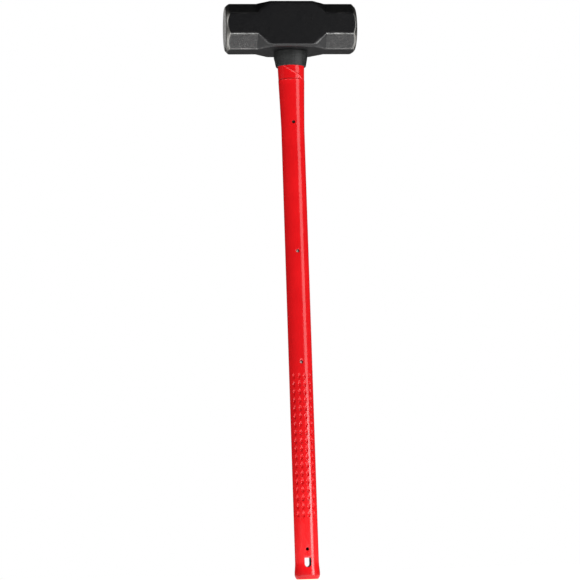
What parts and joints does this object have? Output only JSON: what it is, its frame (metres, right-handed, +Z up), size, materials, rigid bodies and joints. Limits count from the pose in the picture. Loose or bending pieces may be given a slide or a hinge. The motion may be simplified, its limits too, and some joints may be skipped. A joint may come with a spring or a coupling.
{
  "type": "sledgehammer",
  "caption": "Double-faced sledgehammer: octagonal-ended forged head, rubber collar, and a long oval handle with dimpled grip, flared butt and hang slot.",
  "frame": {"origin": "centre of the butt's flat bottom, on the surface that the hammer stands on", "axes": "+Z up the handle to the head, X along the head from striking face to striking face, Y through the flat cheeks"},
  "size_m": [0.208, 0.074, 0.9],
  "materials": {
    "forged_steel": "black scale-like forging finish, satin, fine grain; chamfers rubbed greyer; ground bevels and striking faces are bare steel",
    "fibreglass": "pale pultruded fibreglass, long fibre lines",
    "red_plastic": "glossy red moulded plastic",
    "eye_resin": "cast amber-brown epoxy, smooth and slightly glossy",
    "rubber": "dark grey moulded rubber, satin"
  },
  "bodies": {
    "root": {"head": "forged_steel", "handle_core": "fibreglass", "handle_jacket": "red_plastic", "eye_resin": "eye_resin", "collar": "rubber"}
  },
  "joints": []
}
